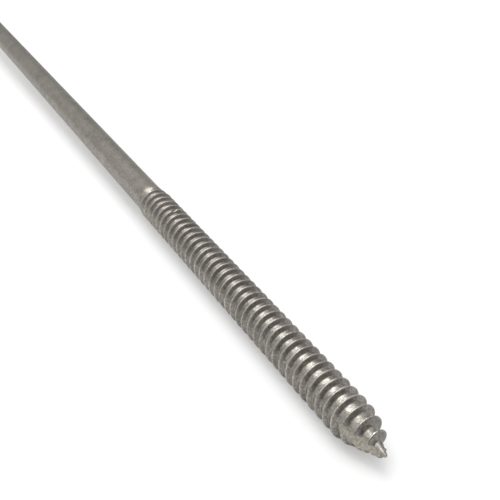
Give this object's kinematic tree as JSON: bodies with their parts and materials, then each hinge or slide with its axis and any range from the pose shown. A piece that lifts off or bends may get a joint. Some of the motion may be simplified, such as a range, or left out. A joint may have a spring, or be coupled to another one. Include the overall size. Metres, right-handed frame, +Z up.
{
  "type": "lag screw",
  "caption": "Long lag screw for timber with a hexagonal washer head, smooth shank, coarse wood thread and fluted gimlet point, lying at rest.",
  "frame": {"origin": "middle of the lying screw's own box, at the floor", "axes": "+X along the screw from head to point, +Z up, lying on the flange rim and the crests beside the point"},
  "size_m": [0.3622, 0.0194, 0.0194],
  "materials": {
    "galvanised_steel": "dull grey zinc coating, fine grained"
  },
  "bodies": {
    "root": {"lag_screw": "galvanised_steel"}
  },
  "joints": []
}
